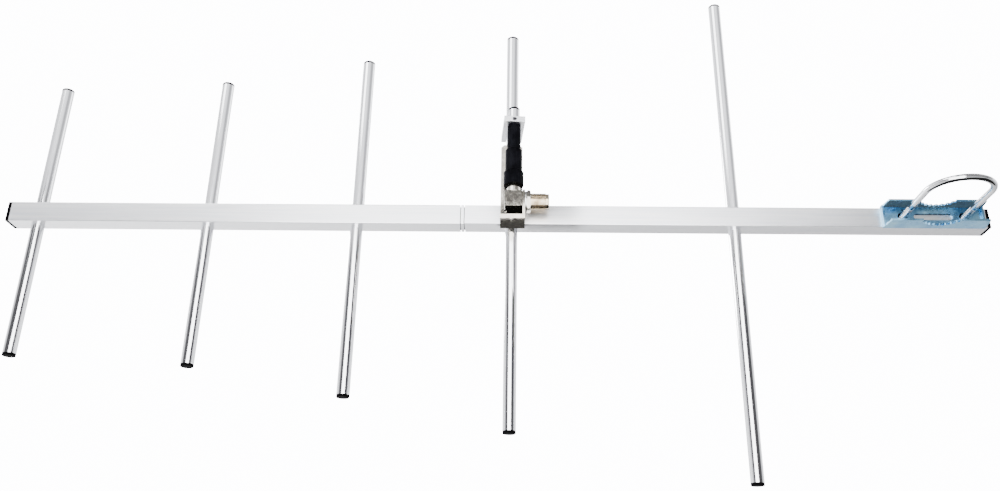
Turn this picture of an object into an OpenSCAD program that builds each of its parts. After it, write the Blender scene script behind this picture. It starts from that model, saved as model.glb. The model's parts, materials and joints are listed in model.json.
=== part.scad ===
// Five-element gamma-matched yagi antenna with a U-bolt mast clamp.
// Millimetres. +X runs along the boom towards the mast end, +Z runs along the elements and
// the mast, and -Y is the side that carries the feed and the clamp. The origin is on the axis
// of the smallest mast that the clamp takes, level with the boom.

/* [Boom] */
// Side of the square boom tube
boom_w = 20; // [18:1:25]
// Wall of the boom tube
boom_wall = 1.5; // [1.2:0.1:2]
// Mast axis to the rear end of the boom
rear_overhang = 54; // [52:1:80]
// Foremost director to the front end of the boom
front_overhang = 28; // [20:1:60]
// Seam of the two boom sections, ahead of the driven element
seam_ahead = 47; // [40:1:60]
// Width of the flush collar between the two sections
collar_w = 2.8; // [2:0.2:6]
// Gap between the collar and each section
seam_gap = 0.8; // [0.2:0.1:1]

/* [Elements] */
// Outside diameter of the element tubes
tube_d = 12; // [10:1:12]
// Wall of the element tubes
tube_wall = 1; // [0.8:0.1:1.5]
// Length of the reflector, caps included
reflector_len = 503; // [480:1:530]
// Length of the driven element, caps included
driven_len = 418; // [400:1:440]
// Length of the director nearest the driven element
director_1_len = 356; // [330:1:380]
// Length of the middle director
director_2_len = 302; // [280:1:330]
// Length of the foremost director
director_3_len = 285; // [260:1:310]
// Mast axis to the reflector
mast_to_reflector = 187; // [170:1:220]
// Reflector to the driven element
reflector_to_driven = 215; // [200:1:230]
// Driven element to the first director
driven_to_director_1 = 150; // [140:1:160]
// First director to the second
director_1_to_2 = 145; // [135:1:155]
// Second director to the third
director_2_to_3 = 166; // [155:1:175]

/* [Gamma feed] */
// Distance between the axes of the gamma tube and the boom
gamma_off = 24; // [24:0.5:28]
// Sideways offset of the gamma tube from the driven element
gamma_side = 2; // [0:0.5:3]
// Outside diameter of the gamma tube
gamma_d = 11; // [10:0.5:11]
// Height of the top of the gamma tube's cap above the boom axis
gamma_top = 109; // [106:1:118]
// Height of the underside of the shorting bar
bar_z = 90; // [84:1:92]
// Height of the connector axis above the boom axis
socket_z = 7.2; // [6.5:0.1:8]
// Diameter of the connector's coupling thread (5/8 inch)
socket_d = 15.88; // [15.8:0.02:16]

/* [Mast clamp] */
// Rod diameter of the U-bolt
rod_d = 6; // [5:0.5:6]
// Spacing of the U-bolt's legs, axis to axis
leg_pitch = 58; // [56:1:60]
// Radius of the smallest mast, which rests on the saddle's teeth
mast_r = 19; // [18:0.5:20]
// Height of the saddle's flanges above the face of the boom
flange_h = 18; // [16:0.5:20]
// Length of the saddle
saddle_len = 96; // [90:1:100]
// Crown of the U-bolt, ahead of the boom axis
crown_y = 98.4; // [94:0.2:100]

/* [Hidden] */
$fn = 48;
fit = 0.05;              // radial clearance of running fits
over = 1;                // how far cutters run past a face

// stations along the boom, measured from the mast axis
x_reflector = -mast_to_reflector;
x_driven = x_reflector - reflector_to_driven;
x_director_1 = x_driven - driven_to_director_1;
x_director_2 = x_director_1 - director_1_to_2;
x_director_3 = x_director_2 - director_2_to_3;
x_seam = x_driven - seam_ahead;
x_rear = rear_overhang;
x_front = x_director_3 - front_overhang;
ELEMENTS = [x_reflector, x_driven, x_director_1, x_director_2, x_director_3];

// boom
half = boom_w / 2;
boom_in = boom_w - 2 * boom_wall;
boom_cap_t = 3.2;        // visible thickness of a boom end cap
boom_plug = 12;          // depth of the plug inside the boom
edge_r = 0.8;            // radius of the boom's long edges
joiner_wall = 1.6;
joiner_screw_near = 14;  // seam to the nearer screw of each section
joiner_screw_end = 8;    // farther screw to the end of the joiner

// elements
tube_r = tube_d / 2;
tube_in = tube_r - tube_wall;
cap_t = 2.4;             // visible thickness of an element cap
cap_plug = 8;

// screws
screw_r = 1.75;
head_r = 3.4;
head_h = 2.2;
head_chamfer = 0.9;
screw_cut = 5;           // depth of the cutters for screw holes
joiner_screw_len = 4.5;

// gamma feed, heights above the boom axis
gamma_r = gamma_d / 2;
gamma_wall = 1;
gamma_foot = 40;         // lower end of the gamma tube
bar_h = 6;
bar_w = 20.6;
bar_front = 9;           // gamma axis to the front end of the bar
bar_back = 10;           // element axis to the back end of the bar
bar_turn = atan2(gamma_side, gamma_off);
bar_reach = norm([gamma_side, gamma_off]);
set_r = 2;               // M4 set screws
set_len = 3;
set_gap = 0.1;           // between the tip of a set screw and its tube
key_r = 1.15;            // hexagon socket of the set screws
key_deep = 1.4;
sleeve_1_r = 6.8;
sleeve_2_r = 8.3;
sleeve_3_r = 9.8;
sleeve_12_z = 61.5;      // step between the upper and the middle sleeve
sleeve_23_z = 37.5;      // step between the middle and the lower sleeve
sleeve_foot = 24;
sleeve_taper = 2.2;
coupler_r = 7.6;
coupler_foot_r = 9.1;
coupler_top = 60;
neck_r = 6.6;
neck_top = 32;
rod_r = 1.6;             // inner conductor
rod_top = 92;

// connector
elbow_w = 17.2;
elbow_h = 16;
elbow_top = socket_z + elbow_h / 2;
elbow_edge = 0.6;        // bevel on the elbow's edges
body_bore = rod_r + 1.6; // bore of the neck and the elbow around the inner conductor
wall_x = elbow_w / 2;    // inner face of the bracket's side wall, from the gamma axis
wall_t = 2.4;
spigot_r = 6.5;
washer_r = 9.6;
washer_t = 1.4;
nut_af = 19;
nut_t = 4;
x_washer = wall_x + wall_t;
x_nut = x_washer + washer_t;
x_socket = x_nut + nut_t;
socket_len = 14.4;
socket_lip = 3;
socket_lip_r = 7.3;
lip_edge = 0.4;          // bevel on the mouth of the barrel
socket_bore = 4.3;
socket_deep = 6;         // depth of the spigot inside the barrel
contact_r = 1.5;
insulator_r = socket_bore - 1;
insulator_len = 9.5;
insulator_back = 4;      // how far the insulator reaches back inside the nut
contact_bore = 0.8;
contact_len = 12;        // centre contact, past the nut
hex_cut = 0.2;           // width across the flats to the circle that the nuts' corners are turned to

// feed bracket
web_w = 21;
web_t = 2;
web_top = 75;
lip_z = -14.4;           // underside of the bottom lip
lip_t = 4.2;
lip_reach = gamma_off - half + elbow_w / 2 + 1.4;
wall_top = 15.2;
web_screw_x = 6.5;
web_screw_z = 4;
web_screw_len = 4.6;
web_corner = 4;          // side of the square that bevels the web's top corners
joiner_len = 2 * (seam_ahead - web_screw_x - screw_r - 1);
JOINER_SCREWS = [joiner_screw_near, joiner_len / 2 - joiner_screw_end];

// mast clamp
notch_depth = 10.5;
boom_y = mast_r - notch_depth + flange_h + half;  // mast axis to boom axis
saddle_t = 2;
saddle_w = 22;
saddle_shift = 0.6;      // the saddle sits a little ahead of the mast axis
flange_rake = 2.2;       // the flanges are shorter at the top, each end
lip_h = 3;               // turned-up ends of the saddle's base
leg_r = rod_d / 2;
leg_hole_r = 4.7;
washer_bore_r = 3.3;
leg_end = -23;           // rear ends of the legs, behind the boom axis
bend_r = leg_pitch / 2;
bend_y = crown_y - leg_r - bend_r;
tooth_n = 9;
tooth_h = 2.2;
tooth_half = 1.6;        // half the width of a gullet
tooth_span = 112;        // degrees from the first gullet to the last
slot_len = 37;
slot_w = 6.4;
flat_r = 6;              // M6 flat washers
flat_t = 1.6;
lock_r = 5.4;
lock_t = 1.6;
lock_gap = 1.2;
hex_af = 10;
hex_t = 5;

// ---- placing helpers -------------------------------------------------------------------

// everything is drawn about the boom axis, then moved behind the mast axis
module behind_mast() translate([0, boom_y, 0]) children();

// a child that points along +Z is turned to point forward, along -Y
module to_front() rotate([90, 0, 0]) children();

// a child that points along +Z is turned to point along +X
module to_rear_end() rotate([0, 90, 0]) children();

module at_gamma() translate([x_driven + gamma_side, -gamma_off, 0]) children();

module at_socket() at_gamma() translate([0, 0, socket_z]) to_rear_end() children();

module at_legs() for (side = [-1, 1]) translate([side * leg_pitch / 2, 0, 0]) children();

// ---- shared shapes ---------------------------------------------------------------------

module ring(outer, inner, h) {
    difference() {
        cylinder(r = outer, h = h);
        translate([0, 0, -over]) cylinder(r = inner, h = h + 2 * over);
    }
}

module rounded_square(w, r) {
    square([w - 2 * r, w], center = true);
    square([w, w - 2 * r], center = true);
    for (x = [-1, 1], y = [-1, 1]) translate([x * (w / 2 - r), y * (w / 2 - r)]) circle(r = r);
}

// a square tube along +X from x0 to x1
module square_tube(x0, x1, outer, inner, r) {
    translate([x0, 0, 0]) rotate([90, 0, 90]) linear_extrude(x1 - x0) difference() {
        rounded_square(outer, r);
        square(inner, center = true);
    }
}

// the holes that the elements pass through
module element_holes() {
    for (x = ELEMENTS) translate([x, 0, -boom_w]) cylinder(r = tube_r, h = 2 * boom_w);
}

// a pan-head screw whose head rests at z = 0 and whose shank goes down
module pan_screw(len) {
    translate([0, 0, -len]) cylinder(r = screw_r, h = len);
    difference() {
        rotate_extrude() polygon([[0, 0], [head_r, 0], [head_r, head_h / 2],
                                  [head_r - head_chamfer, head_h], [0, head_h]]);
        for (turn = [0, 90]) rotate([0, 0, turn])
            translate([-2, -0.4, head_h - 1]) cube([4, 0.8, 2]);
    }
}

// screws that enter from behind the boom
module from_behind(x, z) translate([x, half, z]) rotate([-90, 0, 0]) children();

module screw_hole(x) from_behind(x, 0) translate([0, 0, -screw_cut])
    cylinder(r = screw_r, h = screw_cut + over);

// the two screws of the feed bracket, which point forward from depth y
module at_web_screws(y) for (side = [-1, 1]) translate([x_driven + side * web_screw_x, y, side * web_screw_z])
    to_front() children();

// a nut blank with its corners turned off at the far end, and at the near end too if asked
module hex_blank(af, t, both) {
    near_r = af / 2 + hex_cut + (both ? 0 : t);
    intersection() {
        cylinder(r = af / sqrt(3), h = t, $fn = 6);
        cylinder(r1 = af / 2 + hex_cut + t, r2 = af / 2 + hex_cut, h = t);
        cylinder(r1 = near_r, r2 = near_r + t, h = t);
    }
}

module element_tube(x, len) {
    color("gainsboro") behind_mast() translate([x, 0, -len / 2 + cap_t]) difference() {
        ring(tube_r, tube_in, len - 2 * cap_t);
        translate([0, 0, len / 2 - cap_t]) rotate([-90, 0, 0]) cylinder(r = screw_r, h = boom_w);
    }
}

module element_caps(x, len) {
    color("#17181b") behind_mast() translate([x, 0, 0]) for (end = [0, 1]) mirror([0, 0, end])
        translate([0, 0, len / 2 - cap_t]) {
            rotate_extrude() polygon([[0, 0], [tube_r, 0], [tube_r, cap_t - 0.5],
                                      [tube_r - 0.5, cap_t], [0, cap_t]]);
            translate([0, 0, -cap_plug]) cylinder(r = tube_in, h = cap_plug);
        }
}

// ---- boom ------------------------------------------------------------------------------

module boom_rear() {
    color("gainsboro") behind_mast() difference() {
        square_tube(x_seam + collar_w / 2 + seam_gap, x_rear - boom_cap_t, boom_w, boom_in, edge_r);
        element_holes();
        at_legs() rotate([90, 0, 0]) cylinder(r = leg_hole_r, h = 2 * boom_w, center = true);
        for (x = [x_reflector, x_driven]) screw_hole(x);
        joiner_holes(1);
        at_web_screws(-half + screw_cut) cylinder(r = screw_r, h = 2 * screw_cut);
    }
}

module boom_front() {
    color("gainsboro") behind_mast() difference() {
        square_tube(x_front + boom_cap_t, x_seam - collar_w / 2 - seam_gap, boom_w, boom_in, edge_r);
        element_holes();
        for (x = [x_director_1, x_director_2, x_director_3]) screw_hole(x);
        joiner_holes(-1);
    }
}

module joiner_holes(side) {
    for (step = JOINER_SCREWS) screw_hole(x_seam + side * step);
}

module boom_joiner() {
    bore = boom_in - 2 * joiner_wall;
    color("silver") behind_mast() difference() {
        union() {
            square_tube(x_seam - joiner_len / 2, x_seam + joiner_len / 2, boom_in, bore, 0.5);
            square_tube(x_seam - collar_w / 2, x_seam + collar_w / 2, boom_w, bore, edge_r);
        }
        for (side = [-1, 1]) joiner_holes(side);
    }
}

module joiner_screws() {
    color("silver") behind_mast() for (side = [-1, 1], step = JOINER_SCREWS)
        from_behind(x_seam + side * step, 0) pan_screw(joiner_screw_len);
}

module boom_cap(x, out) {
    color("#17181b") behind_mast() translate([x, 0, 0]) mirror([out < 0 ? 1 : 0, 0, 0])
        rotate([90, 0, 90]) {
            linear_extrude(boom_cap_t) rounded_square(boom_w, edge_r);
            translate([0, 0, -boom_plug]) linear_extrude(boom_plug) difference() {
                square(boom_in, center = true);
                square(boom_in - 4, center = true);
            }
        }
}

module boom_cap_rear() boom_cap(x_rear - boom_cap_t, 1);

module boom_cap_front() boom_cap(x_front + boom_cap_t, -1);

// ---- elements --------------------------------------------------------------------------

module reflector() element_tube(x_reflector, reflector_len);
module driven_element() element_tube(x_driven, driven_len);
module director_1() element_tube(x_director_1, director_1_len);
module director_2() element_tube(x_director_2, director_2_len);
module director_3() element_tube(x_director_3, director_3_len);
module reflector_caps() element_caps(x_reflector, reflector_len);
module driven_caps() element_caps(x_driven, driven_len);
module director_1_caps() element_caps(x_director_1, director_1_len);
module director_2_caps() element_caps(x_director_2, director_2_len);
module director_3_caps() element_caps(x_director_3, director_3_len);

module element_screws() {
    color("silver") behind_mast() for (x = ELEMENTS) from_behind(x, 0) pan_screw(half - tube_in);
}

// ---- gamma feed ------------------------------------------------------------------------

module gamma_tube() {
    color("gainsboro") behind_mast() at_gamma() translate([0, 0, gamma_foot])
        ring(gamma_r, gamma_r - gamma_wall, gamma_top - cap_t - gamma_foot);
}

module gamma_cap() {
    color("#17181b") behind_mast() at_gamma() translate([0, 0, gamma_top - cap_t]) {
        rotate_extrude() polygon([[0, 0], [gamma_r, 0], [gamma_r, cap_t - 0.5],
                                  [gamma_r - 0.5, cap_t], [0, cap_t]]);
        translate([0, 0, -cap_plug]) cylinder(r = gamma_r - gamma_wall, h = cap_plug);
    }
}

module gamma_rod() {
    color("peru") behind_mast() at_gamma() translate([0, 0, elbow_top - 4])
        cylinder(r = rod_r, h = rod_top - elbow_top + 4);
}

module gamma_dielectric() {
    color("white") behind_mast() at_gamma() translate([0, 0, gamma_foot + 2])
        ring(gamma_r - gamma_wall, rod_r, rod_top - gamma_foot - 4);
}

// plastic sleeve that joins the neck of the connector to the gamma tube
module coupler_sleeve() {
    color("#2a2b2f") behind_mast() at_gamma() difference() {
        union() {
            translate([0, 0, sleeve_foot]) cylinder(r = coupler_foot_r, h = sleeve_23_z - 1 - sleeve_foot);
            translate([0, 0, sleeve_foot]) cylinder(r = coupler_r, h = coupler_top - sleeve_foot);
        }
        translate([0, 0, sleeve_foot - over]) cylinder(r = neck_r, h = neck_top - sleeve_foot + over);
        translate([0, 0, gamma_foot]) cylinder(r = gamma_r, h = coupler_top);
        cylinder(r = rod_r + 0.4, h = coupler_top);
    }
}

// one length of shrink sleeve: straight, then flared over the next size at its foot
module shrink(z0, z1, outer, inner, flare) {
    color("#1b1b1f") behind_mast() at_gamma() translate([0, 0, z0]) rotate_extrude()
        polygon([[inner, 0], [flare, 0], [outer, min(sleeve_taper, z1 - z0)], [outer, z1 - z0 - 0.4],
                 [outer - 0.4, z1 - z0], [inner, z1 - z0]]);
}

module shrink_upper() shrink(sleeve_12_z, bar_z - 0.2, sleeve_1_r, gamma_r, sleeve_2_r);
module shrink_middle() shrink(sleeve_23_z, sleeve_12_z, sleeve_2_r, coupler_r, sleeve_3_r);
module shrink_lower() shrink(sleeve_foot, sleeve_23_z, sleeve_3_r, coupler_foot_r, sleeve_3_r);

// solid bar that shorts the gamma tube to the driven element
module shorting_bar() {
    color("gainsboro") behind_mast() translate([x_driven, 0, bar_z]) rotate([0, 0, bar_turn]) difference() {
        translate([-bar_w / 2, -bar_reach - bar_front, 0])
            cube([bar_w, bar_reach + bar_front + bar_back, bar_h]);
        translate([0, 0, -over]) cylinder(r = tube_r + fit, h = bar_h + 2 * over);
        translate([0, -bar_reach, -over]) cylinder(r = gamma_r + fit, h = bar_h + 2 * over);
        translate([0, 0, bar_h / 2]) rotate([-90, 0, 0]) cylinder(r = set_r + fit, h = bar_back + over);
        translate([0, -bar_reach, bar_h / 2]) rotate([90, 0, 0])
            cylinder(r = set_r + fit, h = bar_front + over);
    }
}

// socket-head set screw along +Z
module set_screw() {
    difference() {
        cylinder(r = set_r, h = set_len);
        translate([0, 0, set_len - key_deep]) cylinder(r = key_r, h = key_deep + over, $fn = 6);
    }
}

module bar_screw_front() {
    color("dimgray") behind_mast() translate([x_driven, 0, bar_z + bar_h / 2]) rotate([0, 0, bar_turn])
        translate([0, -bar_reach - gamma_r - set_gap, 0]) rotate([90, 0, 0]) set_screw();
}

module bar_screw_rear() {
    color("dimgray") behind_mast() translate([x_driven, 0, bar_z + bar_h / 2]) rotate([0, 0, bar_turn])
        translate([0, tube_r + set_gap, 0]) rotate([-90, 0, 0]) set_screw();
}

// ---- coaxial connector -----------------------------------------------------------------

module connector_neck() {
    color("#cfc6b8") behind_mast() at_gamma() translate([0, 0, elbow_top]) difference() {
        union() {
            cylinder(r = neck_r, h = neck_top - elbow_top);
            cylinder(r = elbow_w / 2, h = 1.2);
        }
        translate([0, 0, -over]) cylinder(r = body_bore, h = neck_top);
    }
}

// square elbow body with bevelled edges and a threaded spigot that faces the mast end
module connector_elbow() {
    across = (elbow_w + elbow_h - 2 * elbow_edge) / sqrt(2);
    around = (2 * elbow_w - 2 * elbow_edge) / sqrt(2);
    color("#b9b4ab") behind_mast() difference() {
        union() {
            at_gamma() translate([0, 0, socket_z]) intersection() {
                cube([elbow_w, elbow_w, elbow_h], center = true);
                rotate([0, 45, 0]) cube([across, elbow_w * 2, across], center = true);
                rotate([0, 0, 45]) cube([around, around, elbow_w * 2], center = true);
            }
            at_socket() cylinder(r = spigot_r, h = x_socket + socket_deep);
        }
        at_gamma() translate([0, 0, socket_z]) cylinder(r = body_bore, h = elbow_h);
        at_socket() cylinder(r = insulator_r, h = x_socket + socket_deep + over);
    }
}

module connector_barrel() {
    mouth = socket_len + socket_lip;
    color("#b7a283") behind_mast() at_socket() translate([0, 0, x_socket]) rotate_extrude()
        polygon([[spigot_r, 0], [socket_d / 2, 0], [socket_d / 2, socket_len], [socket_lip_r, socket_len],
                 [socket_lip_r, mouth - lip_edge], [socket_lip_r - lip_edge, mouth], [socket_bore, mouth],
                 [socket_bore, socket_deep], [spigot_r, socket_deep]]);
}

module connector_insulator() {
    color("white") behind_mast() at_socket() translate([0, 0, x_socket - insulator_back])
        ring(insulator_r, contact_r, insulator_len);
}

module centre_contact() {
    color("gold") behind_mast() at_socket() difference() {
        cylinder(r = contact_r, h = x_socket + contact_len);
        translate([0, 0, x_socket + socket_deep]) cylinder(r = contact_bore, h = contact_len);
    }
}

module connector_washer() {
    color("silver") behind_mast() at_socket() translate([0, 0, x_washer]) ring(washer_r, spigot_r, washer_t);
}

module connector_nut() {
    color("#cfc6b8") behind_mast() at_socket() translate([0, 0, x_nut]) difference() {
        rotate([0, 0, 30]) hex_blank(nut_af, nut_t, true);
        translate([0, 0, -over]) cylinder(r = spigot_r + fit, h = nut_t + 2 * over);
    }
}

// bent strip: a web on the face of the boom, a lip below the connector and a side wall for it
module feed_bracket() {
    wall_at = gamma_side + wall_x;
    color("#d9d9d6") behind_mast() translate([x_driven, -half, 0]) difference() {
        union() {
            translate([-web_w / 2, -web_t, lip_z]) cube([web_w, web_t, web_top - lip_z]);
            translate([-web_w / 2, -lip_reach, lip_z]) cube([web_w / 2 + wall_at + wall_t, lip_reach, lip_t]);
            translate([wall_at, -lip_reach, lip_z]) cube([wall_t, lip_reach, wall_top - lip_z]);
            translate([0, -web_t, lip_z]) cube([wall_at + wall_t, web_t, wall_top - lip_z]);
        }
        translate([0, half - gamma_off, socket_z]) to_rear_end() cylinder(r = spigot_r + 0.1, h = 30);
        translate([-x_driven, half, 0]) at_web_screws(-half + over) cylinder(r = screw_r, h = screw_cut);
        for (side = [-1, 1]) translate([side * web_w / 2, 0, web_top]) rotate([0, 45, 0])
            cube([web_corner, 3 * web_t, web_corner], center = true);
    }
}

module bracket_screws() {
    color("silver") behind_mast() at_web_screws(-half - web_t) pan_screw(web_screw_len);
}

// ---- mast clamp ------------------------------------------------------------------------

// side view of one flange, x along the boom and y away from it
module flange_outline() {
    top = saddle_len / 2 - flange_rake;
    difference() {
        polygon([[-saddle_len / 2, 0], [saddle_len / 2, 0], [top, flange_h], [-top, flange_h]]);
        translate([saddle_shift, flange_h - notch_depth + mast_r]) circle(r = mast_r);
        for (i = [0 : tooth_n - 1]) notch_tooth(tooth_span * (i / (tooth_n - 1) - 0.5));
    }
}

// one gullet between two teeth, cut outward from the notch's arc
module notch_tooth(angle) {
    translate([saddle_shift, flange_h - notch_depth + mast_r]) rotate(angle)
        polygon([[-tooth_half, over - mast_r], [-tooth_half, -mast_r], [0, -mast_r - tooth_h],
                 [tooth_half, -mast_r], [tooth_half, over - mast_r]]);
}

module mast_saddle() {
    color("#8fb6c9") behind_mast() translate([-saddle_shift, -half, 0]) difference() {
        union() {
            for (side = [-1, 1]) translate([0, 0, side > 0 ? saddle_w / 2 - saddle_t : -saddle_w / 2])
                linear_extrude(saddle_t) mirror([0, 1]) flange_outline();
            translate([-saddle_len / 2, -saddle_t, -saddle_w / 2]) cube([saddle_len, saddle_t, saddle_w]);
            for (side = [-1, 1]) translate([side * (saddle_len / 2 - 1), -lip_h / 2 - saddle_t / 2, 0])
                cube([2, lip_h + saddle_t, saddle_w], center = true);
        }
        translate([saddle_shift, 0, 0]) at_legs() rotate([90, 0, 0])
            cylinder(r = leg_hole_r, h = 20, center = true);
        translate([saddle_shift, -saddle_t - over, 0]) rotate([-90, 0, 0]) linear_extrude(saddle_t + 2 * over) {
            square([slot_len - slot_w, slot_w], center = true);
            for (side = [-1, 1]) translate([side * (slot_len - slot_w) / 2, 0]) circle(r = slot_w / 2);
        }
    }
}

module u_bolt() {
    color("silver") behind_mast() {
        translate([0, -bend_y, 0]) mirror([0, 1, 0]) rotate_extrude(angle = 180) translate([bend_r, 0])
            circle(r = leg_r);
        at_legs() translate([0, -leg_end, 0]) rotate([90, 0, 0]) cylinder(r = leg_r, h = bend_y - leg_end);
    }
}

// things threaded on the legs, at a distance behind the boom
module on_legs(gap) at_legs() translate([0, half + gap, 0]) rotate([-90, 0, 0]) children();

module u_bolt_washers() {
    color("silver") behind_mast() on_legs(0) ring(flat_r, washer_bore_r, flat_t);
}

module u_bolt_lock_washers() {
    color("silver") behind_mast() on_legs(flat_t) difference() {
        ring(lock_r, washer_bore_r, lock_t);
        translate([0, -lock_gap / 2, -over]) cube([lock_r + over, lock_gap, lock_t + 2 * over]);
    }
}

module hex_nut(side) {
    color("silver") behind_mast() translate([side * leg_pitch / 2, half + flat_t + lock_t, 0])
        rotate([-90, 0, 0]) difference() {
            hex_blank(hex_af, hex_t, false);
            translate([0, 0, -over]) cylinder(r = leg_r + fit, h = hex_t + 2 * over);
        }
}

module u_bolt_nut_ahead() hex_nut(-1);
module u_bolt_nut_behind() hex_nut(1);

boom_rear();
boom_front();
boom_joiner();
joiner_screws();
boom_cap_rear();
boom_cap_front();
reflector();
driven_element();
director_1();
director_2();
director_3();
reflector_caps();
driven_caps();
director_1_caps();
director_2_caps();
director_3_caps();
element_screws();
gamma_tube();
gamma_cap();
gamma_rod();
gamma_dielectric();
coupler_sleeve();
shrink_upper();
shrink_middle();
shrink_lower();
shorting_bar();
bar_screw_front();
bar_screw_rear();
connector_neck();
connector_elbow();
connector_barrel();
connector_insulator();
centre_contact();
connector_washer();
connector_nut();
feed_bracket();
bracket_screws();
mast_saddle();
u_bolt();
u_bolt_washers();
u_bolt_lock_washers();
u_bolt_nut_ahead();
u_bolt_nut_behind();
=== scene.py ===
"""Looks of a five-element yagi antenna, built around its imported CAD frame. Everything is in metres."""

import json
import math

import bmesh
import bpy
import numpy as np
from mathutils import Matrix, Vector


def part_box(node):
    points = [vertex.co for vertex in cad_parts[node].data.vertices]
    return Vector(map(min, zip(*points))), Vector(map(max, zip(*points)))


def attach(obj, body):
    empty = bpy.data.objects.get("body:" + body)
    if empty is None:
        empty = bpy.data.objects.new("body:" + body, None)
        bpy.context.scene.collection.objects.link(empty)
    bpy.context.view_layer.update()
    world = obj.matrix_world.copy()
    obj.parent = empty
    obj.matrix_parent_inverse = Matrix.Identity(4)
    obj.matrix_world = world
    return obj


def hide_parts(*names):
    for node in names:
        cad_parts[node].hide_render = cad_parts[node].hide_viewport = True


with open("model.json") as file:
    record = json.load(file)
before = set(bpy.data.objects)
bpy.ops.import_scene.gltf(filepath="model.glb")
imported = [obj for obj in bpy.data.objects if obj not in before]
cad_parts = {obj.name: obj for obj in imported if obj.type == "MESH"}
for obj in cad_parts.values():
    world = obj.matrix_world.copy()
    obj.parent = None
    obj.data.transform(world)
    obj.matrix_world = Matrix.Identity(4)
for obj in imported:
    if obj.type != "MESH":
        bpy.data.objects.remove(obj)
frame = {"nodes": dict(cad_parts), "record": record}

bpy.context.view_layer.update()
MM = 0.001
ALONG_X, ALONG_Y, ALONG_Z = Vector((1, 0, 0)), Vector((0, 1, 0)), Vector((0, 0, 1))


def centre_of(node):
    low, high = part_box(node)
    return (low + high) / 2


# ---- camera ---------------------------------------------------------------------------------

CAMERA_PLACE = Vector((-0.3979, -0.7891, -0.3785))
CAMERA_LOOK = Vector((-0.0163, 0.9204, 0.3907))
CAMERA_UP = Vector((-0.0080, -0.3908, 0.9204))
CAMERA_LENS = 33.65  # millimetres, on a sensor of the next width
SENSOR_WIDTH = 36.0
CLIP_NEAR, CLIP_FAR = 0.01, 60.0


def add_camera():
    data = bpy.data.cameras.new("camera")
    data.lens = CAMERA_LENS
    data.sensor_width = SENSOR_WIDTH
    data.clip_start = CLIP_NEAR
    data.clip_end = CLIP_FAR
    camera = bpy.data.objects.new("camera", data)
    bpy.context.scene.collection.objects.link(camera)
    back = -CAMERA_LOOK.normalized()
    right = CAMERA_UP.cross(back).normalized()
    turn = Matrix((right, back.cross(right), back)).transposed()
    camera.matrix_world = Matrix.Translation(CAMERA_PLACE) @ turn.to_4x4()
    bpy.context.scene.camera = camera


# ---- light and floor ------------------------------------------------------------------------

FLOOR_Z = -0.85
FLOOR_REACH = 14.0
BACKDROP = 15.0  # the white that the camera sees behind the object
AMBIENT = 0.60  # what lights matt surfaces evenly

# brightness round the horizon that metal mirrors: (degrees from -Y towards +X, level)
LOW_BAND = [
    (-180, 2.2), (-112, 2.4), (-88, 1.8), (-68, 0.6), (-57, 0.13), (0, 0.12), (68, 0.10), (80, 0.7),
    (96, 1.8), (120, 2.2), (180, 2.2),
]
HIGH_BAND = [
    (-180, 2.4), (-120, 2.4), (-90, 1.8), (-60, 1.6), (-31, 1.8), (0, 2.4), (32, 2.0), (44, 1.1),
    (60, 0.75), (78, 1.0), (100, 1.6), (130, 2.4), (180, 2.4),
]
# height in degrees where the low band gives way to the high one
BAND_EDGE = [
    (-180, 23), (-45, 23), (-31, 20.9), (-15, 23.2), (0, 24.0), (15, 23.2), (31, 20.9), (45, 23),
    (180, 23),
]
BAND_BLUR = 0.5  # degrees on each side of that edge
STREAKS = 46.0  # noise features round the horizon, which break up the high band
STREAK_SWING, STREAK_LEAST = 0.9, 0.55
OVERHEAD = 0.35
OVERHEAD_FROM, OVERHEAD_FULL = 42.0, 62.0  # degrees
STUDIO_TINT = (0.965, 0.970, 1.0, 1.0)


def wire(tree, kind, inputs=(), **settings):
    """Adds a node, sets its properties, and links or sets its first inputs in order."""
    node = tree.nodes.new(kind)
    for key, value in settings.items():
        setattr(node, key, value)
    for socket, value in zip(node.inputs, inputs):
        if isinstance(value, bpy.types.NodeSocket):
            tree.links.new(value, socket)
        elif value is not None:
            socket.default_value = value
    return node


def maths(tree, operation, a, b=None, c=None):
    return wire(tree, "ShaderNodeMath", (a, b, c), operation=operation).outputs[0]


def stepped(tree, factor, stops, top):
    """A colour ramp through (place 0..1, level) stops, as a plain number up to top."""
    node = wire(tree, "ShaderNodeValToRGB", (factor,))
    ramp = node.color_ramp
    ramp.interpolation = "EASE"
    while len(ramp.elements) < len(stops):
        ramp.elements.new(0.5)
    for element, (place, level) in zip(ramp.elements, stops):
        element.position = place
        element.color = (level / top,) * 3 + (1,)
    return maths(tree, "MULTIPLY", node.outputs[0], top)


def mixed(tree, factor, a, b):
    """a where factor is 0 and b where it is 1."""
    gap = maths(tree, "SUBTRACT", b, a)
    return maths(tree, "MULTIPLY_ADD", factor, gap, a)


def smooth_step(tree, value, start, end):
    node = wire(tree, "ShaderNodeMapRange", (value, start, end), interpolation_type="SMOOTHSTEP")
    return node.outputs[0]


def round_horizon(tree, turn, table):
    """A level that goes round the horizon by a table of (degrees, level)."""
    top = max(level for _, level in table)
    return stepped(tree, turn, [((deg + 180) / 360, level) for deg, level in table], top)


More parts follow.
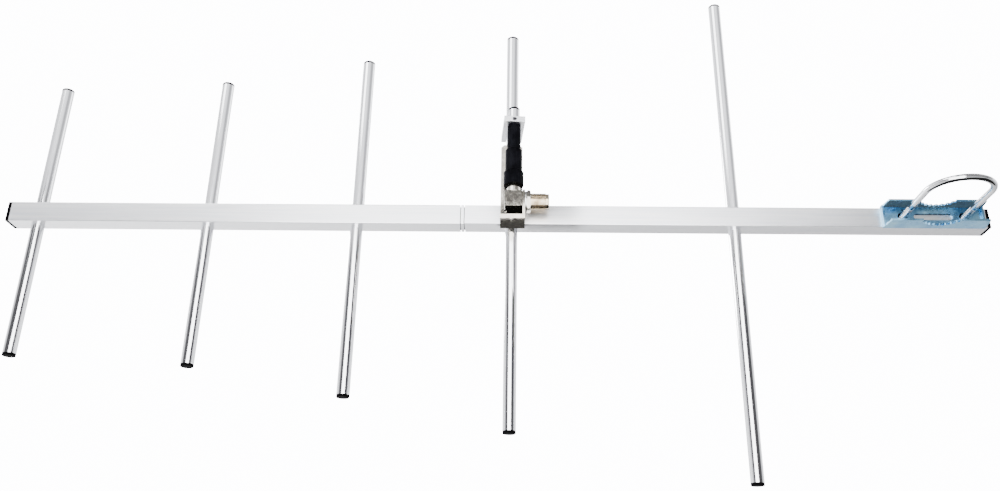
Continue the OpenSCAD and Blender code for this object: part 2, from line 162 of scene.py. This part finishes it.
def add_world():
    world = bpy.data.worlds.new("studio")
    bpy.context.scene.world = world
    world.use_nodes = True
    tree = world.node_tree
    tree.nodes.clear()
    out = tree.nodes.new("ShaderNodeOutputWorld")
    ray = tree.nodes.new("ShaderNodeLightPath")
    place = tree.nodes.new("ShaderNodeTexCoord").outputs["Generated"]
    x, y, z = wire(tree, "ShaderNodeSeparateXYZ", (place,)).outputs
    azimuth = maths(tree, "ARCTAN2", x, maths(tree, "MULTIPLY", y, -1.0))
    turn = maths(tree, "ADD", maths(tree, "DIVIDE", azimuth, 2 * math.pi), 0.5)
    height = maths(tree, "DEGREES", maths(tree, "ARCSINE", z))
    low = round_horizon(tree, turn, LOW_BAND)
    high = round_horizon(tree, turn, HIGH_BAND)
    edge = round_horizon(tree, turn, BAND_EDGE)
    streaks = wire(tree, "ShaderNodeTexNoise", (None, turn), noise_dimensions="1D")
    streaks.inputs["Scale"].default_value = STREAKS
    streaks.inputs["Detail"].default_value = 2.0
    streaky = maths(tree, "MULTIPLY_ADD", streaks.outputs[0], STREAK_SWING, STREAK_LEAST)
    high = maths(tree, "MULTIPLY", high, streaky)
    above = maths(tree, "SUBTRACT", height, edge)
    rise = smooth_step(tree, above, -BAND_BLUR, BAND_BLUR)
    sky = smooth_step(tree, height, OVERHEAD_FROM, OVERHEAD_FULL)
    band = mixed(tree, rise, low, high)
    mirrored = mixed(tree, sky, band, OVERHEAD)
    lit = mixed(tree, ray.outputs["Is Diffuse Ray"], mirrored, AMBIENT)
    seen = mixed(tree, ray.outputs["Is Camera Ray"], lit, BACKDROP)
    shade = wire(tree, "ShaderNodeBackground", (STUDIO_TINT, seen))
    tree.links.new(shade.outputs[0], out.inputs[0])


# square area lights: (place, what it points at, side in metres, watts)
LIGHTS = {
    "key": ((-1.9, -1.7, 2.3), (-0.4, 0.0, 0.0), 1.8, 60.0),
    "back": ((-2.3, 1.9, 1.05), (-2.2, 1.9, FLOOR_Z), 1.5, 150.0),
    "side": ((1.6, 1.2, 1.7), (-0.2, 0.0, 0.0), 1.2, 12.0),
}


def add_light(name, place, aim, side, power):
    data = bpy.data.lights.new(name, "AREA")
    data.shape = "SQUARE"
    data.size = side
    data.energy = power
    light = bpy.data.objects.new(name, data)
    light.location = place
    light.rotation_mode = "QUATERNION"
    light.rotation_quaternion = (Vector(aim) - Vector(place)).to_track_quat("-Z", "Y")
    bpy.context.scene.collection.objects.link(light)


MAST = Vector((0, 0, 0))  # the frame's origin is on the mast's axis
FEED = centre_of("gamma_tube")  # where the gamma tube's axis meets the socket's
FEED.z = centre_of("connector_barrel").z
UP_AHEAD = (0.0, -0.90, 0.437)
DOWN_BACK = (0.0, 0.90, -0.430)

# Glowing cards near the polished parts, which mirror them; the dimmest (level 0.11 and below) are dark
# sheets that put painted shade into what those parts mirror. Each is (place, offset from it to the card's
# target, way from the target to the card, distance, (width, height), level), in millimetres.
CARDS = {
    "softbox": (MAST, (-420, 36.5, -240), (0.0, -1.0, 0.0), 840, (840, 1220), 9.0),
    "elbow_card": (FEED, (0, -8.5, 0.8), UP_AHEAD, 60, (34, 21), 0.27),
    "elbow_under_shade_card": (FEED, (0, 0, -8), DOWN_BACK, 9.8, (26, 16.5), 0.005),
    "lip_under_shade_card": (FEED, (0, 9.5, -21.6), DOWN_BACK, 8, (30, 15), 0.11),
    "barrel_card": (FEED, (38, 0, 0), (0.0, -0.92, -0.39), 50, (56, 85), 7.0),
    "barrel_top_card": (FEED, (38, 0, 0), (0.0, -0.72, 0.69), 45, (56, 50), 0.45),
    "barrel_low_shade_card": (FEED, (38, 0, 0), (0.0, 0.34, -0.94), 50, (56, 75), 0.03),
    "barrel_back_card": (FEED, (26, 0, 0), (0.0, 0.85, -0.53), 12.5, (24, 10), 0.30),
    "slot_shade_card": (MAST, (0, 25.5, 3.2), DOWN_BACK, 0.8, (37, 3), 0.01),
    "saddle_card": (MAST, (0, 24, 0), (0.44, -0.82, 0.37), 130, (160, 75), 0.48),
    "flange_card": (MAST, (0, 16, 9), DOWN_BACK, 6, (100, 18), 0.20),
    "under_flange_card": (MAST, (0, 17.5, -11), DOWN_BACK, 9, (100, 9), 1.3),
    "u_bolt_shade_card": (MAST, (20, -45, 0), (0.0, 0.0, -1.0), 32, (130, 90), 0.02),
}
CORNERS = ((-1, -1), (1, -1), (1, 1), (-1, 1))


def stage_sheet(name, corners, finish):
    """A flat sheet with four corners for the stage."""
    mesh = bpy.data.meshes.new(name)
    mesh.from_pydata([tuple(c) for c in corners], [], [(0, 1, 2, 3)])
    mesh.materials.append(finish)
    sheet = bpy.data.objects.new(name, mesh)
    bpy.context.scene.collection.objects.link(sheet)
    return sheet


def card_glow(name, level):
    """Glows on the front and is clear from behind."""
    mat = bpy.data.materials.new(name)
    mat.use_nodes = True
    tree = mat.node_tree
    tree.nodes.clear()
    out = tree.nodes.new("ShaderNodeOutputMaterial")
    glow = wire(tree, "ShaderNodeEmission", ((1.0, 1.0, 1.0, 1.0), level))
    clear = tree.nodes.new("ShaderNodeBsdfTransparent")
    back = tree.nodes.new("ShaderNodeNewGeometry").outputs["Backfacing"]
    both = wire(tree, "ShaderNodeMixShader", (back, glow.outputs[0], clear.outputs[0]))
    tree.links.new(both.outputs[0], out.inputs[0])
    return mat


def add_card(name, place, offset, way, distance, size, level):
    way = Vector(way).normalized()
    side = (way.cross(ALONG_Z) if abs(way.z) < 0.9 else ALONG_X).normalized()
    rise = side.cross(way)
    centre = place + (Vector(offset) + way * distance) * MM
    half_w, half_h = size[0] / 2 * MM, size[1] / 2 * MM
    corners = [centre + u * half_w * side + v * half_h * rise for u, v in CORNERS]
    card = stage_sheet(name, corners, card_glow(name, level))
    # the face has to look back at the target
    if card.data.polygons[0].normal.dot(-way) < 0:
        card.data.flip_normals()
    card.visible_camera = False
    card.visible_diffuse = False
    card.visible_shadow = False


def add_floor():
    corners = [(x * FLOOR_REACH, y * FLOOR_REACH, FLOOR_Z) for x, y in CORNERS]
    stage_sheet("floor", corners, floor_paper())


# ---- materials ------------------------------------------------------------------------------


def noise(tree, scale, stretch=(1, 1, 1), detail=4.0, rough=0.5):
    """Noise in the object's own space: about scale features to the metre, times each axis's stretch."""
    place = tree.nodes.new("ShaderNodeTexCoord").outputs["Object"]
    spread = wire(tree, "ShaderNodeMapping", (place,))
    spread.inputs["Scale"].default_value = stretch
    tex = wire(tree, "ShaderNodeTexNoise", (spread.outputs[0],))
    tex.inputs["Scale"].default_value = scale
    tex.inputs["Detail"].default_value = detail
    tex.inputs["Roughness"].default_value = rough
    return tex.outputs[0]


def coloured(tree, factor, stops):
    """A colour ramp through (place 0..1, colour) stops."""
    node = wire(tree, "ShaderNodeValToRGB", (factor,))
    ramp = node.color_ramp
    while len(ramp.elements) < len(stops):
        ramp.elements.new(0.5)
    for element, (place, colour) in zip(ramp.elements, stops):
        element.position = place
        element.color = tuple(colour) + (1,)
    return node.outputs[0]


NOISE_LOW, NOISE_HIGH = 0.3, 0.7  # nearly all of a noise lies between these
# painted shade: the dark colour that fills the gaps at the boom's collar
PAINTED_GAP_SHADE = (0.01, 0.01, 0.01, 1.0)


def ranged(tree, field, low, high):
    return wire(tree, "ShaderNodeMapRange", (field, NOISE_LOW, NOISE_HIGH, low, high)).outputs[0]


def bumped(tree, layers):
    """Stacked bumps: (height field, depth in metres, strength)."""
    normal = None
    for field, depth, strength in layers:
        node = tree.nodes.new("ShaderNodeBump")
        node.inputs["Distance"].default_value = depth
        node.inputs["Strength"].default_value = strength
        tree.links.new(field, node.inputs["Height"])
        if normal is not None:
            tree.links.new(normal, node.inputs["Normal"])
        normal = node.outputs[0]
    return normal


def material(name, stops, tint, rough, layers, metallic=1.0, shaded=None, **sockets):
    """A Principled material. Called with the tree, tint gives the field that picks among the colour stops,
    rough a field with its lowest and highest roughness, layers the bumps, and shaded a mask of where
    painted shade darkens the colour."""
    mat = bpy.data.materials.new(name)
    mat.use_nodes = True
    tree = mat.node_tree
    tree.nodes.clear()
    out = tree.nodes.new("ShaderNodeOutputMaterial")
    shader = tree.nodes.new("ShaderNodeBsdfPrincipled")
    tree.links.new(shader.outputs[0], out.inputs[0])
    colour = coloured(tree, tint(tree), stops)
    if shaded is not None:
        # mixes painted shade into the colour where the shaded mask is 1
        colour = wire(tree, "ShaderNodeMixRGB", (shaded(tree), colour, PAINTED_GAP_SHADE)).outputs[0]
    tree.links.new(colour, shader.inputs["Base Color"])
    field, low, high = rough(tree)
    tree.links.new(ranged(tree, field, low, high), shader.inputs["Roughness"])
    shader.inputs["Metallic"].default_value = metallic
    for key, value in sockets.items():
        shader.inputs[key.replace("_", " ")].default_value = value
    normal = bumped(tree, layers(tree))
    if normal is not None:
        tree.links.new(normal, shader.inputs["Normal"])
    return mat


LONG_X = (0.02, 1, 1)  # stretch for lines that run along the boom
LONG_Z = (1, 1, 0.015)  # stretch for lines that run along the elements


def painted_shade_in_gaps(tree):
    """1 on what lies deeper than the boom's outer faces: painted shade, so that the gaps at its collar are
    dark.
    """
    place = tree.nodes.new("ShaderNodeTexCoord").outputs["Object"]
    _, y, z = wire(tree, "ShaderNodeSeparateXYZ", (place,)).outputs
    low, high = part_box("boom_joiner")
    across = maths(tree, "ABSOLUTE", maths(tree, "SUBTRACT", y, centre_of("boom_joiner").y))
    out = maths(tree, "MAXIMUM", across, maths(tree, "ABSOLUTE", z))
    half_width = (high.z - low.z) / 2
    dark_at, clear_at = half_width - 0.9 * MM, half_width - 0.4 * MM
    return wire(tree, "ShaderNodeMapRange", (out, dark_at, clear_at, 1.0, 0.0)).outputs[0]


def boom_aluminium():
    return material(
        "boom_aluminium",
        [(0.3, (0.78, 0.80, 0.84)), (0.5, (0.86, 0.87, 0.90)), (0.7, (0.91, 0.91, 0.92))],
        lambda t: noise(t, 700, LONG_X, 5),
        lambda t: (noise(t, 1500, LONG_X, 3), 0.28, 0.38),
        lambda t: [
            (noise(t, 2600, LONG_X, 4), 0.00003, 0.22),
            (noise(t, 40, (0.3, 1, 1), 2), 0.0004, 0.05),
        ],
        # painted shade darkens the gaps at the collar and the boom's inside
        shaded=painted_shade_in_gaps,
    )


def tube_aluminium():
    return material(
        "tube_aluminium",
        [(0.3, (0.76, 0.77, 0.80)), (0.5, (0.85, 0.86, 0.88)), (0.7, (0.91, 0.91, 0.92))],
        lambda t: noise(t, 1100, LONG_Z, 4),
        lambda t: (noise(t, 1500, LONG_Z, 3), 0.07, 0.15),
        lambda t: [
            (noise(t, 1800, LONG_Z, 4), 0.00003, 0.16),
            (noise(t, 45, (1, 1, 0.25), 2), 0.0004, 0.05),
        ],
    )


def black_plastic():
    return material(
        "black_plastic",
        [(0.35, (0.004, 0.004, 0.0045)), (0.65, (0.010, 0.010, 0.011))],
        lambda t: noise(t, 260),
        lambda t: (noise(t, 900), 0.34, 0.52),
        lambda t: [(noise(t, 2600, detail=3), 0.00005, 0.25)],
        metallic=0.0,
        IOR=1.03,
    )


def shrink_sleeve():
    return material(
        "shrink_sleeve",
        [(0.35, (0.006, 0.006, 0.008)), (0.65, (0.016, 0.016, 0.021))],
        lambda t: noise(t, 180, (1, 1, 0.5)),
        lambda t: (noise(t, 500, (1, 1, 0.4)), 0.26, 0.46),
        lambda t: [
            (noise(t, 420, (1, 1, 0.35), 3), 0.0003, 0.25),
            (noise(t, 2400), 0.00004, 0.2),
        ],
        metallic=0.0,
        IOR=1.03,
    )


def nickel():
    return material(
        "nickel",
        [(0.3, (0.44, 0.41, 0.36)), (0.55, (0.58, 0.55, 0.49)), (0.75, (0.68, 0.65, 0.60))],
        lambda t: noise(t, 220, detail=5),
        lambda t: (noise(t, 340, detail=4), 0.09, 0.20),
        lambda t: [(noise(t, 1500, detail=4), 0.00002, 0.15)],
    )


def brassy_nickel():
    return material(
        "brassy_nickel",
        [(0.3, (0.46, 0.37, 0.25)), (0.5, (0.66, 0.55, 0.40)), (0.72, (0.76, 0.67, 0.54))],
        lambda t: noise(t, 240, detail=5),
        lambda t: (noise(t, 420, detail=4), 0.09, 0.20),
        lambda t: [(noise(t, 1600, detail=4), 0.00002, 0.15)],
    )


def gold_contact():
    return material(
        "gold_contact",
        [(0.35, (0.78, 0.52, 0.18)), (0.65, (0.92, 0.68, 0.30))],
        lambda t: noise(t, 500),
        lambda t: (noise(t, 900), 0.12, 0.24),
        lambda t: [(noise(t, 2600), 0.00002, 0.2)],
    )


def copper_rod():
    return material(
        "copper_rod",
        [(0.35, (0.62, 0.28, 0.16)), (0.65, (0.80, 0.43, 0.28))],
        lambda t: noise(t, 300, LONG_Z),
        lambda t: (noise(t, 900, LONG_Z), 0.22, 0.38),
        lambda t: [(noise(t, 2200, LONG_Z), 0.00002, 0.2)],
    )


def white_insulator():
    return material(
        "white_insulator",
        [(0.35, (0.72, 0.71, 0.67)), (0.65, (0.82, 0.81, 0.78))],
        lambda t: noise(t, 300),
        lambda t: (noise(t, 700), 0.38, 0.52),
        lambda t: [(noise(t, 2200), 0.00003, 0.2)],
        metallic=0.0,
        Subsurface_Weight=0.08,
    )


def dark_steel():
    return material(
        "dark_steel",
        [(0.35, (0.055, 0.055, 0.060)), (0.65, (0.11, 0.11, 0.12))],
        lambda t: noise(t, 800),
        lambda t: (noise(t, 900), 0.30, 0.46),
        lambda t: [(noise(t, 3200), 0.00003, 0.3)],
    )


def blue_zinc():
    return material(
        "blue_zinc",
        [(0.25, (0.11, 0.28, 0.50)), (0.45, (0.18, 0.40, 0.61)), (0.6, (0.24, 0.49, 0.67)),
         (0.8, (0.38, 0.60, 0.71))],
        lambda t: noise(t, 55, (1, 1, 1.4), 6, 0.6),
        lambda t: (noise(t, 120, detail=5), 0.22, 0.42),
        lambda t: [
            (noise(t, 900, detail=5), 0.00005, 0.2),
            (noise(t, 130, detail=2), 0.0003, 0.05),
        ],
    )


def chrome_rod():
    return material(
        "chrome_rod",
        [(0.35, (0.74, 0.75, 0.77)), (0.65, (0.86, 0.87, 0.88))],
        lambda t: noise(t, 200),
        lambda t: (noise(t, 400), 0.06, 0.15),
        lambda t: [(noise(t, 900), 0.00003, 0.2)],
    )


def zinc_hardware():
    return material(
        "zinc_hardware",
        [(0.3, (0.56, 0.58, 0.60)), (0.5, (0.68, 0.69, 0.69)), (0.72, (0.76, 0.75, 0.71))],
        lambda t: noise(t, 260, detail=5),
        lambda t: (noise(t, 500, detail=4), 0.20, 0.36),
        lambda t: [(noise(t, 1500, detail=4), 0.00004, 0.3)],
    )


def floor_paper():
    return material(
        "floor_paper",
        [(0.35, (0.80, 0.80, 0.80)), (0.65, (0.84, 0.84, 0.84))],
        lambda t: noise(t, 3),
        lambda t: (noise(t, 8), 0.85, 0.95),
        lambda t: [(noise(t, 400), 0.0001, 0.1)],
        metallic=0.0,
        Specular_IOR_Level=0.0,
    )


# ---- mesh helpers ---------------------------------------------------------------------------

CREASE = math.radians(50)  # sharper edges than this stay sharp


def add_piece(name, verts, faces, slot_name, body, node):
    """A piece of its own that rides on a body in place of a CAD node."""
    mesh = bpy.data.meshes.new(name)
    mesh.from_pydata([tuple(v) for v in verts], [], faces)
    mesh.validate()
    shell = bmesh.new()
    shell.from_mesh(mesh)
    bmesh.ops.recalc_face_normals(shell, faces=shell.faces)
    shell.to_mesh(mesh)
    shell.free()
    mesh.polygons.foreach_set("use_smooth", [True] * len(mesh.polygons))
    mesh.set_sharp_from_angle(angle=CREASE)
    mesh.materials.append(FINISH[slot_name])
    piece = bpy.data.objects.new(name, mesh)
    bpy.context.scene.collection.objects.link(piece)
    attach(piece, body)
    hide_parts(node)


def skin(rings, loop_ends=False):
    """Verts and faces of a skin over equal rings of points. Its last ring joins the first, or flat faces
    close its two ends."""
    count = len(rings[0])
    verts = [p for ring in rings for p in ring]
    faces = []
    last = len(rings) if loop_ends else len(rings) - 1
    for i in range(last):
        a, b = i * count, ((i + 1) % len(rings)) * count
        for j in range(count):
            k = (j + 1) % count
            faces.append((a + j, a + k, b + k, b + j))
    if not loop_ends:
        faces.append(tuple(range(count))[::-1])
        faces.append(tuple(len(verts) - count + j for j in range(count)))
    return verts, faces


def circle(centre, first, second, radii):
    """A ring of points round centre, at angles from first towards second, one radius each."""
    turns = np.linspace(0, 2 * math.pi, len(radii), endpoint=False)
    return [centre + float(r) * (math.cos(t) * first + math.sin(t) * second) for t, r in zip(turns, radii)]


def thread_depth(along, pitch, count):
    """How deep a V thread is cut, 0 at the crest to 1 at the root, round a ring at this place."""
    crest_share, slope = 0.5, 2.2
    turns = np.linspace(0, 1, count, endpoint=False)
    phase = (along / pitch - turns) % 1.0
    from_root = np.abs(phase - 0.5) * 2
    return np.clip((1 - from_root - crest_share) * slope, 0, 1)


# ---- U-bolt ---------------------------------------------------------------------------------


def add_u_bolt():
    low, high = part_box("u_bolt")
    rod = (high.z - low.z) / 2
    bend = (high.x - low.x) / 2 - rod
    middle = (high.x + low.x) / 2
    bend_y = low.y + rod + bend
    pitch, depth = 1.0 * MM, 0.45 * MM
    thread_end = 3.0 * MM  # place of the thread's inner end along y
    fade = 3.0 * MM  # the thread reaches its full depth over this length
    point, point_cut = 0.8 * MM, 0.7 * MM  # length of each leg's tip and what it takes off the radius
    rings_per_pitch, rings_per_leg, rings_per_bend = 8, 12, 56
    count = 24

    def leg_ring(side, y):
        depth_here = depth * min(1.0, max(0.0, (y - thread_end) / fade))
        radii = rod - depth_here * thread_depth(side * y, pitch, count)
        tip = max(0.0, 1 - (high.y - y) / point)
        if tip:
            radii = np.minimum(radii, rod - point_cut * tip)
        return circle(Vector((middle + side * bend, y, 0)), side * ALONG_X, side * ALONG_Z, radii)

    def bend_ring(turn):
        out = Vector((-math.cos(turn), -math.sin(turn), 0))
        return circle(Vector((middle, bend_y, 0)) + bend * out, out, -ALONG_Z, np.full(count, rod))

    fine = np.arange(high.y, thread_end, -pitch / rings_per_pitch)
    coarse = np.linspace(thread_end, bend_y, rings_per_leg)
    places = [*fine, *coarse]
    rings = [leg_ring(-1, y) for y in places]
    rings += [bend_ring(math.pi * i / rings_per_bend) for i in range(1, rings_per_bend)]
    for y in reversed(places):
        ring = leg_ring(1, y)
        # this leg's rings run the other way round, so each is turned over to meet the bend's
        rings.append([ring[0], *ring[:0:-1]])
    verts, faces = skin(rings)
    add_piece("u_bolt_threaded", verts, faces, "chrome_rod", "clamp_bolt", "u_bolt")


# ---- coupling barrel ------------------------------------------------------------------------


def turned_rings(profile, centre, cut, count=56):
    """Rings round the X axis, one for each (along, radius) of a profile, less what a thread cuts away."""
    rings = []
    for along, radius in profile:
        radii = np.full(count, radius) - cut(along, radius, count)
        rings.append(circle(centre + ALONG_X * along, ALONG_Y, ALONG_Z, radii))
    return rings


def add_barrel():
    low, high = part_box("connector_barrel")
    centre = centre_of("connector_barrel")
    centre.x = low.x
    radius = (high.z - low.z) / 2
    length = high.x - low.x
    lip, lip_r = 3.0 * MM, 7.3 * MM  # the plain end that a plug meets first
    bore = 4.3 * MM
    spigot, spigot_depth = 6.5 * MM, 6.0 * MM  # the block's spigot fills the wider back
    pitch, depth = 25.4 * MM / 24, 0.45 * MM
    thread = length - lip
    start, run_in, run_out = 0.2 * MM, 1.2 * MM, 0.6 * MM
    back_edge, front_edge = 0.4 * MM, 0.3 * MM  # how far the thread's two ends are turned down
    edge = 0.45 * MM
    round_off = 0.3 * edge
    rings_per_pitch = 10

    def cut(along, ring_radius, count):
        if ring_radius < radius - 1e-6:
            return np.zeros(count)
        share = min(1.0, (along - start) / run_in, (thread - along) / run_out)
        return depth * max(0.0, share) * thread_depth(along, pitch, count)

    steps = int(thread / pitch * rings_per_pitch)
    profile = [(0.0, spigot), (0.0, radius - back_edge)]
    profile += [(thread * i / steps, radius) for i in range(1, steps)]
    profile += [(thread, radius - front_edge), (thread, lip_r)]
    profile += [(length - edge, lip_r), (length - round_off, lip_r - round_off), (length, lip_r - edge)]
    profile += [(length, bore + edge), (length - edge, bore), (spigot_depth, bore), (spigot_depth, spigot)]
    verts, faces = skin(turned_rings(profile, centre, cut), loop_ends=True)
    add_piece("coupling_barrel", verts, faces, "brassy_nickel", "boom", "connector_barrel")


# ---- shrink sleeves -------------------------------------------------------------------------

# (outer radius, inner radius, radius of the flared foot, bulge below the top edge, seed of the wrinkles)
SLEEVES = {
    "shrink_upper": (6.8 * MM, 5.5 * MM, 8.3 * MM, 0.35 * MM, 11),
    "shrink_middle": (8.3 * MM, 7.6 * MM, 9.8 * MM, 0.0, 12),
    "shrink_lower": (9.8 * MM, 9.1 * MM, 9.8 * MM, 0.0, 13),
}
SLEEVE_RING = 0.35 * MM  # height of one ring of faces
FOOT_HEIGHT, FOOT_CURVE = 2.2 * MM, 1.6
ROLL_HEIGHT, ROLL_DEPTH = 0.5 * MM, 0.35 * MM
BULGE_BELOW, BULGE_HALF = 3.2 * MM, 1.4 * MM
SINK = 0.12 * MM  # keeps the skin within the CAD sleeve
WRINKLE = 0.16 * MM
CRUMPLE = 2.2  # wrinkles on the bulge, as a share of its size


def drawn_waves(rng):
    """Waves round and along a sleeve, each (lobes, turn per metre, phase, weight)."""
    waves = []
    for _ in range(9):
        lobes = rng.integers(2, 9)
        waves.append((lobes, rng.uniform(150, 900), rng.uniform(0, 6.28), rng.uniform(0.4, 1)))
    return waves


def add_sleeve(node, body_r, inner_r, flare, crumple, seed):
    """One shrunk sleeve: a soft step at its foot, a rolled top edge and fine wrinkles."""
    low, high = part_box(node)
    middle = centre_of(node)
    height = high.z - low.z
    steps = max(10, int(height / SLEEVE_RING))
    turns = np.linspace(0, 2 * math.pi, 72, endpoint=False)
    waves = drawn_waves(np.random.default_rng(seed))

    def ring(z, radius, wrinkle):
        bend = sum(w * np.cos(n * turns + k * z + p) for n, k, p, w in waves) / len(waves)
        radii = radius - wrinkle * (0.5 + 0.5 * bend)
        xs = middle.x + radii * np.cos(turns)
        ys = middle.y + radii * np.sin(turns)
        return [Vector((x, y, z)) for x, y in zip(xs, ys)]

    rings = [ring(low.z, inner_r, 0)]
    for i in range(steps + 1):
        z = low.z + height * i / steps
        below_top = high.z - z
        near_foot = max(0.0, 1 - (z - low.z) / FOOT_HEIGHT)
        roll = max(0.0, 1 - below_top / ROLL_HEIGHT)
        bulge = crumple * math.exp(-(((below_top - BULGE_BELOW) / BULGE_HALF) ** 2))
        radius = body_r + (flare - body_r) * near_foot**FOOT_CURVE
        radius += bulge - ROLL_DEPTH * roll**2 - SINK
        rings.append(ring(z, min(radius, flare), WRINKLE + CRUMPLE * bulge))
    rings.append(ring(high.z, inner_r, 0))
    verts, faces = skin(rings, loop_ends=True)
    add_piece(node + "_skin", verts, faces, "shrink_sleeve", "boom", node)


# ---- carried-over CAD nodes -----------------------------------------------------------------

# radius of the rounded edges in millimetres
ROUNDED = {
    "boom_rear": 0.25, "boom_front": 0.25, "boom_joiner": 0.15, "boom_cap_rear": 0.5, "boom_cap_front": 0.5,
    "shorting_bar": 0.4, "feed_bracket": 0.3, "connector_elbow": 0.25, "connector_neck": 0.25,
    "connector_washer": 0.2, "connector_nut": 0.25, "mast_saddle": 0.2, "u_bolt_washers": 0.2,
    "u_bolt_lock_washers": 0.2, "u_bolt_nut_ahead": 0.2, "u_bolt_nut_behind": 0.2, "element_screws": 0.12,
    "joiner_screws": 0.12, "bracket_screws": 0.12,
    "reflector_caps": 0.3, "driven_caps": 0.3, "director_1_caps": 0.3, "director_2_caps": 0.3,
    "director_3_caps": 0.3, "gamma_cap": 0.3,
}
HARD_EDGE = math.radians(32)  # edges that turn by more than this are rounded


def soften(node, width):
    """Real edges are never sharp: joins the split corners, then rounds the hard ones."""
    weld = node.modifiers.new("weld", "WELD")
    weld.merge_threshold = 0.002 * MM
    bevel = node.modifiers.new("edges", "BEVEL")
    bevel.width = width * MM
    bevel.segments = 2
    bevel.limit_method = "ANGLE"
    bevel.angle_limit = HARD_EDGE
    bevel.harden_normals = True
    bevel.use_clamp_overlap = True


def dress_cad_nodes():
    slots = {row["node"]: row["material_slot"] for row in frame["record"]["subparts"]}
    for name, node in frame["nodes"].items():
        node.data.materials.clear()
        node.data.materials.append(FINISH[slots[name]])
        if name in ROUNDED:
            soften(node, ROUNDED[name])


# ---- assembly -------------------------------------------------------------------------------

FINISH = {
    make.__name__: make()
    for make in (
        boom_aluminium, tube_aluminium, black_plastic, shrink_sleeve, nickel, brassy_nickel, gold_contact,
        copper_rod, white_insulator, dark_steel, blue_zinc, chrome_rod, zinc_hardware,
    )
}
add_camera()
add_world()
for light_name, light in LIGHTS.items():
    add_light(light_name, *light)
add_floor()
for card_name, card in CARDS.items():
    add_card(card_name, *card)
dress_cad_nodes()
add_u_bolt()
add_barrel()
for sleeve_name, sleeve in SLEEVES.items():
    add_sleeve(sleeve_name, *sleeve)
